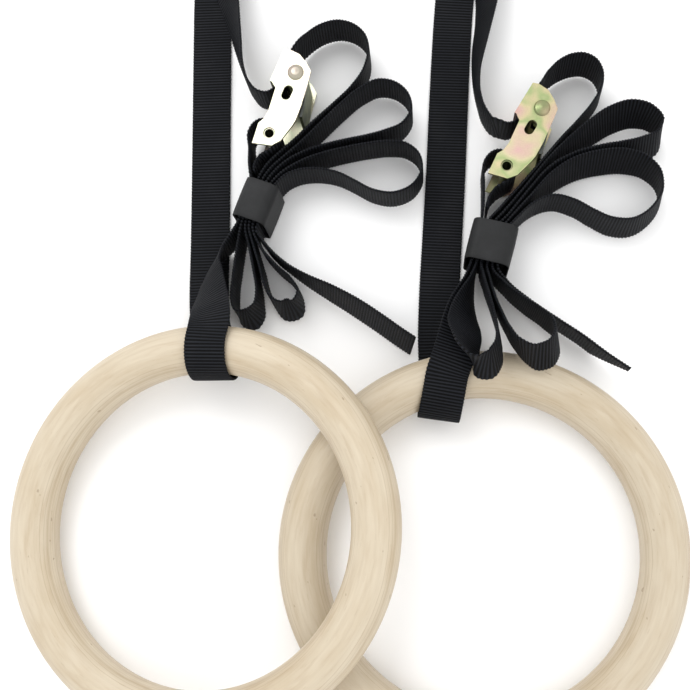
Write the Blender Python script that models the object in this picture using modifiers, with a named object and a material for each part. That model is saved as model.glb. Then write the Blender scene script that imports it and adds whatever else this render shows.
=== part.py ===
"""Pair of wooden gymnastics rings on webbing straps with cam buckles, lying as stored. Metres, +Z up.

Each set is one long strap: its sewn end turns round the buckle's cross bar, the strap goes round the ring,
away to a folded hank, back through the cam and into three loops that a rubber keeper band gathers.
The left ring lies across the right one. +X runs from the left set to the right set, +Y along the straps.
"""
import math

import bmesh
import bpy
from mathutils import Matrix, Vector

MM = 0.001

# Rings
RING_RADIUS = 104.0 * MM        # tube centre line
TUBE_RADIUS = 14.0 * MM
RING_SIDES, TUBE_SIDES = 60, 14
LEFT_TILT = 0.167               # the left ring's right side rests on the right ring
RIGHT_TILT = 0.017              # the right ring's near side rests on its own strap

# Webbing
STRAP_WIDTH = 25.0 * MM
STRAP_THICK = 1.7 * MM
STEP = 4.0 * MM                 # spacing of the ribbon's cross sections
WRAP_HEIGHT = 16.3 * MM         # from the tube's centre to the strap over and under it

# Buckle, in its own frame: origin on the cam pin, +Y towards the loops, plates across Z
PLATE = 1.6 * MM
BUCKLE_HEIGHT = 31.0 * MM
BUCKLE_BASE = 1.2 * MM          # the lower pin head lifts the plate off the surface
BAR_AT = (0.0, -41.4 * MM)
BAR_RADIUS, BAR_BORE = 3.3 * MM, 2.8 * MM
PIN_RADIUS, HEAD_RADIUS = 2.4 * MM, 4.9 * MM
SLOT_AT, SLOT_SIZE = (0.2 * MM, -13.8 * MM), (5.8 * MM, 9.6 * MM)
LEVER_HEIGHT = 26.8 * MM
POCKET_RADIUS, POCKET_HEIGHT = 5.4 * MM, 9.0 * MM
SPRING_RADIUS, SPRING_WIRE, SPRING_TURNS, SPRING_PITCH = 4.1 * MM, 0.45 * MM, 5, 1.3 * MM
GAP = 0.3 * MM

# Rubber bands: inside width across the layers, wall and length
KEEPER_INSIDE = (18.6 * MM, 29.0 * MM)
BAND_WALL = 1.4 * MM
KEEPER_LENGTH = 25.0 * MM

# Hank: the unseen length of each strap, folded flat
HANK_LENGTH = 172.0 * MM
HANK_LAYERS = 16
LAYER_PITCH = 1.85 * MM
HANK_BASE = 2.0 * MM
TIE_INSIDE = (26.4 * MM, 30.4 * MM)
TIE_LENGTH = 22.0 * MM

# The whole object is moved so that its box is centred on the origin
CENTRE = Vector((-2.0, -101.2, 0)) * MM

WEB = (0.018, 0.019, 0.022, 1)
BIRCH = (0.78, 0.66, 0.48, 1)
ZINC = (0.62, 0.58, 0.40, 1)
STEEL = (0.42, 0.43, 0.44, 1)
RUBBER = (0.045, 0.047, 0.05, 1)

# Strap routes: x, y, z in millimetres and the turn of the webbing in degrees, 0 lying flat and 90 on edge.
# The two stretches inside a buckle are in the buckle's own frame and serve both sets.
SEWN_ROUND_BAR = [
    (3.5, -49, 15.5, 90), (5.9, -43.7, 15.5, 90), (5.2, -38.8, 15.5, 90), (1.3, -35.2, 15.5, 90),
    (-4, -33.2, 15.5, 90), (-9.2, -33.6, 15.5, 90), (-12.6, -37.6, 15.5, 90), (-13.4, -43, 15.5, 90),
]
THROUGH_CAM = [
    (-18, -17.4, 15.5, 90), (-13.6, -16.6, 15.5, 90), (-10.7, -13.8, 15.5, 90), (-9.5, -9, 15.5, 90),
    (-9.5, -3, 15.5, 90), (-9.5, 4, 15.5, 90), (-9.5, 11, 15.4, 90), (-9.2, 16, 15.2, 90),
]
LEFT_SEWN_END = [(-54.2, 101.5, 15.9, 90), (-54.1, 106, 15.6, 90), (-51.4, 111, 15.5, 90)]
LEFT_RING_STRAND = [
    (-57.4, 116, 15.5, 90), (-57.3, 108, 15.8, 90), (-56.3, 100, 16.3, 90), (-55.1, 93.4, 16, 90),
    (-59, 82.1, 15.3, 90), (-63.2, 70.8, 14.9, 90), (-68, 62, 14.9, 91), (-75.2, 53, 15.6, 80),
    (-79.2, 46, 18, 66), (-79.6, 38.4, 21.4, 54), (-78.7, 30.2, 26.4, 44), (-77.4, 22.4, 31.8, 33),
    (-75.6, 13.6, 38.8, 19), (-74.4, 5.6, 44.6, 8),
]
LEFT_BACK_STRAND = [
    (-80, 6, 14.8, 6), (-83, 20, 8.4, 3), (-84.8, 36, 3.6, 0), (-85.4, 54, 1.8, 0), (-86, 84, 1.3, 0),
    (-87, 130, 1.2, 0), (-88.3, 190, 1.3, 0), (-89, 226, 1.3, 0), (-89, 238, 1.5, 0), (-89, 252, 2.8, 0),
    (-89, 260, 3.6, 0),
    (-89, 265.6, 3.7, 0),
]
LEFT_FREE_STRAND = [
    (-86, 265.6, 7.4, 0), (-86, 261, 7.5, 0), (-82.8, 252, 8.6, 16), (-78.8, 240, 11, 34),
    (-76, 226, 13.4, 50),
    (-71.6, 206, 14.6, 64), (-67.4, 186, 15, 76), (-63.6, 170, 15.4, 88), (-59.6, 160.4, 15.5, 90),
]
LEFT_LOOPS = [
    (-25.8, 189.2, 14, 90), (-15, 197.2, 13.4, 90), (-4.6, 199.6, 13.2, 90), (5.4, 196.6, 13.2, 90),
    (12, 190, 13.2, 90), (14.2, 180, 13.2, 90), (11.6, 168, 13.2, 90), (4.2, 156.6, 13.2, 90),
    (-7, 145.3, 13.2, 90), (-19.6, 133.6, 13.2, 90), (-31, 122, 13.4, 90), (-40.4, 113.4, 13.8, 90),
    (-47.6, 105.2, 14.2, 90), (-51.5, 97.6, 14.6, 90), (-52.8, 92.5, 14.7, 90), (-56.9, 81.2, 14.7, 90),
    (-61, 69.9, 14.7, 90), (-63.2, 58, 13.8, 90), (-65, 44, 13.2, 90), (-66.2, 31, 13.2, 90),
    (-66, 22, 13, 84, 110), (-63, 15.2, 12.6, 74, 110), (-57, 13.6, 12.4, 70, 110),
    (-52.2, 18.6, 12.7, 76, 110), (-51.2, 28, 13.1, 86, 110), (-53.2, 40, 13.2, 90), (-56, 54, 13.6, 90),
    (-58.7, 69.1, 14.7, 90),
    (-54.6, 80.4, 14.7, 90), (-50.5, 91.7, 14.7, 90), (-49.2, 96.4, 14.6, 90), (-44.8, 103.6, 14.2, 90),
    (-37, 111.4, 13.8, 90), (-27, 120.4, 13.4, 90), (-15.4, 132.2, 13.2, 90), (-2.6, 145, 13.2, 90),
    (9.6, 155.4, 13.2, 90), (20.6, 160.4, 13.2, 90), (31, 158.4, 13.2, 90), (38.8, 151, 13.2, 90),
    (40.6, 141, 13.2, 90), (35.6, 132.6, 13.2, 90), (25, 127.8, 13.2, 90), (14, 124.8, 13.2, 90),
    (2, 122.4, 13.2, 90), (-12, 119.2, 13.2, 90), (-24, 115.2, 13.4, 90), (-34, 109.6, 13.8, 90),
    (-41.8, 102.4, 14.2, 90), (-46.6, 95.4, 14.6, 90), (-48.3, 90.9, 14.7, 90), (-52.4, 79.6, 14.7, 90),
    (-56.5, 68.3, 14.7, 90), (-53.8, 56.4, 13.9, 90), (-50, 44, 13.3, 90), (-47, 33, 13.2, 90),
    (-42.6, 24, 13, 82, 110), (-35.6, 19.2, 12.5, 70, 110), (-28.6, 20.8, 12.6, 74, 110),
    (-26.6, 28, 13.1, 86, 110),
    (-31, 36, 13.2, 90), (-39.4, 43.6, 13.3, 90), (-48.9, 54.6, 13.8, 90), (-54.2, 67.5, 14.7, 90),
    (-50.1, 78.8, 14.7, 90), (-46, 90.1, 14.7, 90), (-43.6, 94.8, 14.5, 90), (-38.6, 100.6, 14.2, 90),
    (-31.6, 105.8, 13.8, 90), (-22.4, 110.6, 13.4, 90), (-11, 114.4, 13.2, 90), (2, 117.4, 13.2, 90),
    (14, 119.6, 13.2, 90), (26, 120.8, 13.2, 90), (37.4, 119.4, 13.2, 90), (45.4, 112.8, 13.2, 90),
    (47.2, 102.6, 13.2, 90), (41.4, 93, 13.2, 90), (30.4, 88.4, 13.2, 90), (17.6, 90.4, 13.2, 90),
    (6, 96.6, 13.2, 90), (-3, 101.2, 13.2, 90), (-12, 103.6, 13.2, 90), (-20.4, 104.2, 13.3, 90),
    (-28.4, 103, 13.6, 90), (-35.4, 99.8, 14, 90), (-40.6, 94.6, 14.4, 90), (-43.8, 89.2, 14.7, 90),
    (-47.9, 77.9, 14.7, 90), (-51, 69.4, 14.7, 90), (-52, 66.7, 14.7, 90), (-47.8, 58.8, 14, 90),
    (-41.4, 51.4, 13.5, 90),
    (-33, 44.4, 13.2, 90), (-22, 37.2, 13.1, 86, 60), (-8, 29.6, 12.9, 79, 60),
    (7, 20.8, 12.7, 75, 60), (22.4, 10.4, 12.6, 74, 60), (34.6, 1.6, 12.6, 74, 60),
    (42, -3.4, 12.6, 74, 60),
]
RIGHT_SEWN_END = [(86.3, 78.5, 15, 90), (87.4, 84, 15.2, 90), (91.4, 89.4, 15.4, 90)]
RIGHT_RING_STRAND = [
    (84.4, 94, 15.4, 90), (84.3, 85, 15.2, 90), (83.8, 76, 15, 90), (82.4, 68.1, 14.7, 90),
    (79.5, 56.5, 14.7, 90), (76.6, 44.9, 14.7, 90), (74.2, 34, 15.6, 98), (71.8, 22, 18.6, 116),
    (70, 10, 24.2, 136), (68.4, -2, 29.8, 158), (66, -12.4, 33.6, 174),
]
RIGHT_BACK_STRAND = [
    (57.6, -10, 1.3, 180), (57.2, 2, 1.2, 180), (57.8, 29, 1.2, 180), (59.6, 64, 1.2, 180),
    (61.8, 103, 1.2, 180), (64.8, 172, 1.2, 180), (67.6, 220, 1.2, 180), (69.4, 240, 1.4, 180),
    (71.8, 256, 2.8, 180), (73, 266, 3.6, 180), (73, 273.5, 3.7, 180),
]
RIGHT_FREE_STRAND = [
    (77, 273.6, 7.4, 0), (77, 269, 7.5, 0), (82, 260, 8.6, 14), (87.6, 246, 10.4, 30), (89, 228, 12.6, 50),
    (87, 208, 13.8, 62), (83.2, 186, 14.6, 70), (81.2, 164, 15, 84), (82.6, 150, 15.3, 90),
    (85.4, 140.4, 15.5, 90), (90.4, 133.4, 15.5, 90),
]
RIGHT_LOOPS = [
    (124, 162.6, 14.4, 88), (131.6, 169.6, 13.6, 84), (139.6, 173.2, 13.2, 82), (147, 173.4, 13.2, 82),
    (153.4, 169.8, 13.2, 82), (157, 163, 13.2, 84), (156.4, 154, 13.2, 86), (150.6, 143.4, 13.2, 88),
    (141.4, 132.6, 13.2, 90), (131.4, 121.8, 13.2, 90), (121.4, 109.8, 13.4, 90), (112, 98.6, 13.8, 90),
    (103.2, 88.4, 14.2, 90), (94.2, 78, 14.5, 90), (85.5, 67.4, 14.7, 90), (82.6, 55.8, 14.7, 90),
    (79.7, 44.2, 14.7, 90), (77.4, 33, 16.4, 82, 180), (74.6, 20, 21.6, 64, 180),
    (72.6, 6, 31.6, 47, 180), (72.2, -6, 43.6, 50, 165), (74, -15.4, 49.5, 56, 145),
    (79, -21.6, 50.7, 60), (85.4, -21.4, 49.9, 60),
    (90.2, -15.4, 47.4, 64), (91.4, -6, 42.4, 70), (90, 6, 35, 76), (87.4, 20, 26, 80),
    (84.4, 34, 18, 86), (82.8, 43.4, 14.7, 90), (85.7, 55, 14.7, 90), (88.6, 66.6, 14.7, 90),
    (95.6, 74.8, 14.5, 90), (105, 85.4, 14.1, 88), (112.8, 94, 13.8, 84), (125, 107.4, 13.4, 78),
    (137, 118.6, 13, 74), (150, 129, 12.8, 70), (163, 137.4, 12.6, 68), (175.4, 141, 12.6, 68),
    (186, 138.4, 12.6, 70), (192.6, 131, 12.6, 74), (190.8, 123.4, 12.6, 74), (182, 118.6, 12.6, 72),
    (170, 115.8, 12.6, 72), (156, 113.4, 12.8, 72), (141, 109.6, 13, 74), (126.4, 102.4, 13.4, 78),
    (112.4, 88.9, 13.8, 84), (105, 80.9, 14.1, 88), (98.4, 73.2, 14.5, 90), (91.8, 65.8, 14.7, 90),
    (88.9, 54.2, 14.7, 90), (86, 42.6, 14.7, 90), (88, 32, 17.6, 86), (90.8, 20, 23.4, 80),
    (94.8, 7, 31.6, 74), (99.2, -4.5, 39.8, 68), (104.6, -12.8, 45, 62), (111.8, -16.8, 47, 60),
    (119.2, -14.8, 46.4, 62), (123.6, -8, 43, 66), (122.8, 1, 38, 70), (116, 9.8, 31.4, 74),
    (106.4, 19, 24.4, 80), (97, 29.6, 18, 86), (89.1, 41.8, 14.7, 90), (92, 53.4, 14.7, 90),
    (94.9, 65, 14.7, 90), (99, 70.4, 14.5, 90), (105, 76.8, 14.1, 88), (113.2, 84.8, 13.8, 84),
    (126, 97.4, 13.4, 78), (140, 106, 13, 74), (155, 110, 12.8, 72), (170, 110.8, 12.6, 72),
    (182, 107, 12.6, 74), (190, 98.6, 12.6, 76), (191.4, 88, 12.6, 78), (185, 76.6, 12.6, 80),
    (173.4, 69.2, 12.6, 80), (161, 69.8, 12.8, 80), (150, 75, 13, 82), (139, 81.4, 13.2, 84),
    (126.6, 84.8, 13.4, 86), (114.6, 80.8, 13.8, 88), (106, 73.6, 14.3, 90), (98, 64.3, 14.7, 90),
    (95.1, 52.7, 14.7, 90), (92.2, 41.1, 14.7, 90), (98, 32.6, 14, 90), (110, 22.2, 13.4, 90),
    (126, 10.8, 13.2, 90), (141.4, 0.2, 13.2, 90), (156, -11.2, 13.2, 90), (168, -19.6, 13.2, 90),
]
LEAN_YAW = 119                  # leaning loops of the right set tip their upper edges this way
TIP_LENGTH = 24.0 * MM          # the tail is cut to a point over this length
TIP_WIDTH = 0.3                 # share of the width left at the very tip

SETS = {
    "left": {
        "pin": Vector((-29.2, 162.2, 0)) * MM, "buckle_angle": 21.8,
        "keeper": Vector((-52.6, 82.6, 16.0)) * MM, "keeper_angle": 20.0, "keeper_extra": 0.0,
        "ring": Vector((-79.5, -112.9, 14.1)) * MM, "tilt": (LEFT_TILT, 0.0), "wrap_at": 86.8,
        "wrap_yaw": (0.0, -1.0), "wrap_reach": 17.5 * MM, "wrap_drift": 1.5 * MM, "width_sign": 1,
        "back_yaw": 0.0, "front_yaw": 0.0, "lean_yaw": 0.0,
        "hank": Vector((-88.0, 266.0, 0)) * MM, "pointed": False,
        "sewn_end": LEFT_SEWN_END, "ring_strand": LEFT_RING_STRAND, "back": LEFT_BACK_STRAND,
        "free": LEFT_FREE_STRAND, "loops": LEFT_LOOPS,
    },
    "right": {
        "pin": Vector((118.9, 136.8, 0)) * MM, "buckle_angle": 30.9,
        "keeper": Vector((88.6, 55.6, 16.0)) * MM, "keeper_angle": 14.0, "keeper_extra": 6.2 * MM,
        "ring": Vector((82.2, -125.7, 14.1)) * MM, "tilt": (0.0, RIGHT_TILT), "wrap_at": 102.0,
        "wrap_yaw": (-3.0, -8.0), "wrap_reach": 24.2 * MM, "wrap_drift": 3.0 * MM, "width_sign": -1,
        "back_yaw": -3.0, "front_yaw": -3.0,
        "lean_yaw": LEAN_YAW, "hank": Vector((74.5, 274.0, 0)) * MM, "pointed": True,
        "sewn_end": RIGHT_SEWN_END, "ring_strand": RIGHT_RING_STRAND, "back": RIGHT_BACK_STRAND,
        "free": RIGHT_FREE_STRAND, "loops": RIGHT_LOOPS,
    },
}
PLATE_OUTLINE = [
    (-12.7, 11.1), (-9.3, 12.3), (-2.4, 11.7), (3.6, 8.2), (8.3, 4.2), (9.3, -1.6), (11.4, -18.4),
    (11.8, -28.4), (11.2, -32.4), (8.4, -43.4), (4.4, -48.2), (-7.2, -50.9), (-8.6, -37.8), (-6.6, -34.0),
    (-6.0, -28.6), (-7.7, -13.4), (-11.3, -10.6), (-12.7, -10.6),
]
LEVER_OUTLINE = [
    (-7.4, -3.4), (-8.25, -0.6), (-8.0, 2.4), (-6.6, 5.6), (-3.6, 7.2), (0.6, 6.8), (4.4, 4.4), (7.0, 0.4),
    (9.4, -7.0), (12.2, -16.4), (14.0, -24.2), (12.3, -24.8), (10.1, -17.8), (6.4, -9.4), (1.0, -5.6),
    (-3.6, -5.4),
]


def clear_scene():
    for obj in list(bpy.data.objects):
        bpy.data.objects.remove(obj, do_unlink=True)


def material(name, colour, roughness, metallic):
    mat = bpy.data.materials.new(name)
    mat.use_nodes = True
    shader = mat.node_tree.nodes["Principled BSDF"]
    shader.inputs["Base Color"].default_value = colour
    shader.inputs["Roughness"].default_value = roughness
    shader.inputs["Metallic"].default_value = metallic
    return mat


def add_object(name, mesh, mat, parent, collection="gymnastics_rings"):
    obj = bpy.data.objects.new(name, mesh)
    bpy.data.collections[collection].objects.link(obj)
    obj.parent = parent
    if mat:
        mesh.materials.append(mat)
    return obj


def add_empty(name, location, angle, parent):
    """An empty whose +Y points angle degrees clockwise from its parent's +Y."""
    empty = bpy.data.objects.new(name, None)
    bpy.data.collections["gymnastics_rings"].objects.link(empty)
    empty.location = location
    empty.rotation_euler = (0, 0, -math.radians(angle))
    empty.parent = parent
    return empty


def mesh_from(bm, name):
    bmesh.ops.recalc_face_normals(bm, faces=bm.faces)
    mesh = bpy.data.meshes.new(name)
    bm.to_mesh(mesh)
    bm.free()
    return mesh


def prism(name, outline, low, high):
    """An outline extruded upwards from low to high."""
    bm = bmesh.new()
    face = bm.faces.new([bm.verts.new((x, y, low)) for x, y in outline])
    top = bmesh.ops.extrude_face_region(bm, geom=[face])["geom"]
    verts = [item for item in top if isinstance(item, bmesh.types.BMVert)]
    bmesh.ops.translate(bm, verts=verts, vec=(0, 0, high - low))
    return mesh_from(bm, name)


def stadium(centre, size, sides=8):
    """A slot's outline with round ends, long along Y."""
    radius, straight = size[0] / 2, (size[1] - size[0]) / 2
    points = []
    for i in range(2 * sides + 2):
        end = 1 if i <= sides else -1
        turn = math.pi * (i - (0 if end > 0 else 1)) / sides
        x, y = radius * math.cos(turn), radius * math.sin(turn)
        points.append((centre[0] + x, centre[1] + end * straight + y))
    return points


def circle(centre, radius, sides=24):
    turns = [2 * math.pi * i / sides for i in range(sides)]
    return [(centre[0] + radius * math.cos(t), centre[1] + radius * math.sin(t)) for t in turns]


def cut(obj, cutter_mesh, parent, operation="DIFFERENCE"):
    """Cuts the object with, or joins it to, another mesh in the same frame."""
    cutter = add_object(obj.name + "_cutter", cutter_mesh, None, parent, "cutters")
    cutter.hide_render = True
    cutter.display_type = "WIRE"
    mod = obj.modifiers.new(operation.title(), "BOOLEAN")
    mod.operation = operation
    mod.object = cutter


def turned(name, profile, mat, parent, closed=False, steps=24):
    """A turned piece: a profile of (radius, height) pairs run round Z."""
    mesh = bpy.data.meshes.new(name)
    count = len(profile)
    edges = [(i, i + 1) for i in range(count - 1)] + ([(count - 1, 0)] if closed else [])
    mesh.from_pydata([(r, 0, z) for r, z in profile], edges, [])
    obj = add_object(name, mesh, mat, parent)
    mod = obj.modifiers.new("Turn", "SCREW")
    mod.steps = mod.render_steps = steps
    mod.use_merge_vertices = True
    mod.merge_threshold = 0.00001
    return obj


def lying(point, yaw):
    """A route point in metres and the direction across the webbing there; a fifth number is its own yaw."""
    x, y, z, turn, yaw = (*point, yaw)[:5]
    turn, yaw = math.radians(turn), math.radians(yaw)
    across = Vector((math.cos(yaw) * math.cos(turn), math.sin(yaw) * math.cos(turn), math.sin(turn)))
    return Vector((x, y, z)) * MM, across


def in_buckle(spec, points):
    """Route points given in a buckle's own frame."""
    turn = Matrix.Rotation(-math.radians(spec["buckle_angle"]), 4, "Z")
    placed = []
    for x, y, z, roll in points:
        place = turn @ Vector((x, y, z)) * MM + spec["pin"] + Vector((0, 0, BUCKLE_BASE))
        placed.append((place, Vector((0, 0, 1))))
    return placed


def ring_frame(spec):
    """Centre of a lying ring and its three axes."""
    slope_x, slope_y = spec["tilt"]
    normal = Vector((-math.sin(slope_x), -math.sin(slope_y), 0))
    normal.z = math.sqrt(1 - normal.length_squared)
    across = (Vector((1, 0, 0)) - normal * normal.x).normalized()
    rise = RING_RADIUS * math.sin(abs(slope_x) + abs(slope_y))
    return spec["ring"] + Vector((0, 0, rise)), across, normal.cross(across), normal


def ring_wrap(spec):
    """The strap's turn round the ring: over the tube, down its inner side and under it."""
    centre, across, along, normal = ring_frame(spec)
    at, (end_yaw, middle_yaw) = math.radians(spec["wrap_at"]), spec["wrap_yaw"]
    tube = centre + RING_RADIUS * (across * math.cos(at) + along * math.sin(at))
    back = along * math.cos(math.radians(middle_yaw)) - across * math.sin(math.radians(middle_yaw))
    points = []
    for i in range(9):
        yaw = math.radians(end_yaw + (middle_yaw - end_yaw) * math.sin(math.pi * i / 8))
        width = across * math.cos(yaw) + along * math.sin(yaw)
        turn = math.radians(90 + 22.5 * i)
        place = tube + back * spec["wrap_reach"] * math.cos(turn) + normal * WRAP_HEIGHT * math.sin(turn)
        points.append((place + across * spec["wrap_drift"] * (4 - i) / 8, width * spec["width_sign"]))
    return points


def smooth(controls, step):
    """Samples a smooth curve through the controls, about one sample every step."""
    gaps = [(b[0] - a[0]).length for a, b in zip(controls, controls[1:])]
    rates = [[(b[j] - a[j]) / gap for j in (0, 1)] for a, b, gap in zip(controls, controls[1:], gaps)]
    slopes = [rates[0]]
    for i in range(1, len(gaps)):
        share = gaps[i - 1] / (gaps[i - 1] + gaps[i])
        slopes.append([rates[i - 1][j] * (1 - share) + rates[i][j] * share for j in (0, 1)])
    slopes.append(rates[-1])
    samples = []
    for i, gap in enumerate(gaps):
        pieces = max(1, round(gap / step))
        for k in range(pieces):
            t = k / pieces
            ends = (1 + 2 * t) * (1 - t) ** 2, t * t * (3 - 2 * t)
            pulls = t * (1 - t) ** 2 * gap, t * t * (t - 1) * gap
            samples.append([
                controls[i][j] * ends[0] + controls[i + 1][j] * ends[1]
                + slopes[i][j] * pulls[0] + slopes[i + 1][j] * pulls[1] for j in (0, 1)
            ])
    samples.append(list(controls[-1]))
    return samples


def ribbon(name, controls, mat, parent, pointed=False):
    """Webbing along a route, as a closed strip of rectangular sections."""
    samples = smooth(controls, STEP)
    lengths = [0.0]
    for a, b in zip(samples, samples[1:]):
        lengths.append(lengths[-1] + (b[0] - a[0]).length)
    bm = bmesh.new()
    rows = []
    for i, (place, across) in enumerate(samples):
        ahead = (samples[min(i + 1, len(samples) - 1)][0] - samples[max(i - 1, 0)][0]).normalized()
        across = (across - ahead * across.dot(ahead)).normalized()
        thick = ahead.cross(across) * STRAP_THICK / 2
        share = 1.0
        if pointed:
            share = min(1.0, TIP_WIDTH + (1 - TIP_WIDTH) * (lengths[-1] - lengths[i]) / TIP_LENGTH)
        place = place - across * (1 - share) * STRAP_WIDTH / 2
        side = across * share * STRAP_WIDTH / 2
        corners = ((1, 1), (1, -1), (-1, -1), (-1, 1))
        rows.append([bm.verts.new(place + s * side + t * thick) for s, t in corners])
    for a, b in zip(rows, rows[1:]):
        for k in range(4):
            bm.faces.new((a[k], a[(k + 1) % 4], b[(k + 1) % 4], b[k]))
    bm.faces.new(rows[0])
    bm.faces.new(rows[-1][::-1])
    print(name, "length", round(lengths[-1], 4))
    return add_object(name, mesh_from(bm, name), mat, parent)


def band(name, inside, length, place, angle, mat, parent):
    """A rubber band: a rounded rectangle round the webbing, long along its own Y."""
    bm = bmesh.new()
    half_x, half_z, corner = inside[0] / 2, inside[1] / 2, 3.0 * MM
    outline = []
    for quarter in range(4):
        sx, sz = ((1, 1), (-1, 1), (-1, -1), (1, -1))[quarter]
        for k in range(4):
            turn = math.radians(90 * quarter + 30 * k)
            x = sx * (half_x - corner) + corner * math.cos(turn)
            outline.append((x, sz * (half_z - corner) + corner * math.sin(turn)))
    rows = [[bm.verts.new((x, y, z)) for x, z in outline] for y in (-length / 2, length / 2)]
    for k in range(len(outline)):
        after = (k + 1) % len(outline)
        bm.faces.new((rows[0][k], rows[1][k], rows[1][after], rows[0][after]))
    mesh = mesh_from(bm, name)
    obj = add_object(name, mesh, mat, add_empty(name + "_place", place, angle, parent))
    mod = obj.modifiers.new("Wall", "SOLIDIFY")
    mod.thickness = BAND_WALL
    mod.offset = 1.0
    return obj


def in_metres(outline):
    return [(x * MM, y * MM) for x, y in outline]


def buckle_frame(side, mat, parent):
    """Two side plates joined by the base that the webbing is pressed against."""
    plate = prism("plate", in_metres(PLATE_OUTLINE), 0, PLATE)
    frame = add_object(side + "_buckle_frame", plate, mat, parent)
    top = prism("top", in_metres(PLATE_OUTLINE), BUCKLE_HEIGHT - PLATE, BUCKLE_HEIGHT)
    cut(frame, top, parent, "UNION")
    base = in_metres([(-12.7, -10.6), (-11.1, -10.6), (-11.1, 11.1), (-12.7, 11.1)])
    cut(frame, prism("base", base, PLATE / 2, BUCKLE_HEIGHT - PLATE / 2), parent, "UNION")
    over, under = BUCKLE_HEIGHT + PLATE, -PLATE
    cut(frame, prism("pin_hole", circle((0, 0), PIN_RADIUS + GAP), under, over), parent)
    cut(frame, prism("bar_hole", circle(BAR_AT, BAR_RADIUS + GAP), under, over), parent)
    cut(frame, prism("slot", stadium(SLOT_AT, SLOT_SIZE), under, over), parent)


def cam_lever(side, mat, parent):
    """The cam on the pin and its thumb tab, with a pocket for the spring."""
    low = (BUCKLE_HEIGHT - LEVER_HEIGHT) / 2
    block = prism("lever", in_metres(LEVER_OUTLINE), low, low + LEVER_HEIGHT)
    lever = add_object(side + "_cam_lever", block, mat, parent)
    cut(lever, prism("bore", circle((0, 0), PIN_RADIUS + GAP), 0, BUCKLE_HEIGHT), parent)
    pocket = ((BUCKLE_HEIGHT - POCKET_HEIGHT) / 2, (BUCKLE_HEIGHT + POCKET_HEIGHT) / 2)
    cut(lever, prism("pocket", circle((0, 0), POCKET_RADIUS), *pocket), parent)
    mouth = [(-POCKET_RADIUS / 2, -2 * POCKET_RADIUS), (POCKET_RADIUS / 2, -2 * POCKET_RADIUS)]
    mouth += [(POCKET_RADIUS / 2, 0), (-POCKET_RADIUS / 2, 0)]
    cut(lever, prism("mouth", mouth, *pocket), parent)


def cam_pin(side, mat, parent):
    top = BUCKLE_HEIGHT + GAP
    profile = [(0, top + 1.9 * MM), (0.5 * HEAD_RADIUS, top + 1.6 * MM), (0.85 * HEAD_RADIUS, top + 0.9 * MM)]
    profile += [(HEAD_RADIUS, top), (PIN_RADIUS, top), (PIN_RADIUS, -GAP), (HEAD_RADIUS, -GAP)]
    profile += [(HEAD_RADIUS, -0.7 * MM), (0.8 * HEAD_RADIUS, -1.1 * MM), (0, -1.1 * MM)]
    turned(side + "_cam_pin", profile, mat, parent)


def cross_bar(side, mat, parent):
    place = add_empty(side + "_bar_place", (*BAR_AT, 0), 0, parent)
    ends = (0.6 * MM, BUCKLE_HEIGHT - 0.6 * MM)
    profile = [(BAR_RADIUS, ends[1]), (BAR_RADIUS, ends[0]), (BAR_BORE, ends[0]), (BAR_BORE, ends[1])]
    turned(side + "_cross_bar", profile, mat, place, closed=True)


def cam_spring(side, mat, parent):
    curve = bpy.data.curves.new(side + "_spring", "CURVE")
    curve.dimensions = "3D"
    curve.bevel_depth = SPRING_WIRE
    curve.bevel_resolution = 1
    curve.use_fill_caps = True
    spline = curve.splines.new("POLY")
    per_turn = 12
    spline.points.add(per_turn * SPRING_TURNS)
    low = BUCKLE_HEIGHT / 2 - SPRING_PITCH * SPRING_TURNS / 2
    for i, point in enumerate(spline.points):
        turn = 2 * math.pi * i / per_turn
        height = low + SPRING_PITCH * i / per_turn
        point.co = (SPRING_RADIUS * math.cos(turn), SPRING_RADIUS * math.sin(turn), height, 1)
    curve.materials.append(mat)
    obj = bpy.data.objects.new(side + "_cam_spring", curve)
    bpy.data.collections["gymnastics_rings"].objects.link(obj)
    obj.parent = parent


def ring(side, spec, mat, parent):
    centre, across, along, normal = ring_frame(spec)
    bpy.ops.mesh.primitive_torus_add(
        major_radius=RING_RADIUS, minor_radius=TUBE_RADIUS,
        major_segments=RING_SIDES, minor_segments=TUBE_SIDES
    )
    obj = bpy.context.object
    obj.name = side + "_ring"
    for holder in list(obj.users_collection):
        holder.objects.unlink(obj)
    bpy.data.collections["gymnastics_rings"].objects.link(obj)
    obj.location = centre
    obj.rotation_euler = (spec["tilt"][1], -spec["tilt"][0], 0)
    obj.parent = parent
    obj.data.materials.append(mat)
    obj.data.shade_smooth()


def hank(side, spec, mat, parent):
    """The folded length of strap, as one rounded block."""
    height = HANK_LAYERS * LAYER_PITCH
    width = STRAP_WIDTH + 2 * GAP
    outline = [(-width / 2, 0), (width / 2, 0), (width / 2, HANK_LENGTH), (-width / 2, HANK_LENGTH)]
    place = add_empty(side + "_hank_place", spec["hank"] + Vector((0, 0, HANK_BASE)), 0, parent)
    obj = add_object(side + "_hank", prism("hank", outline, 0, height), mat, place)
    mod = obj.modifiers.new("Round", "BEVEL")
    mod.width = 2.0 * MM
    mod.segments = 2
    middle = spec["hank"] + Vector((0, HANK_LENGTH / 2, HANK_BASE + height / 2))
    return middle


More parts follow.
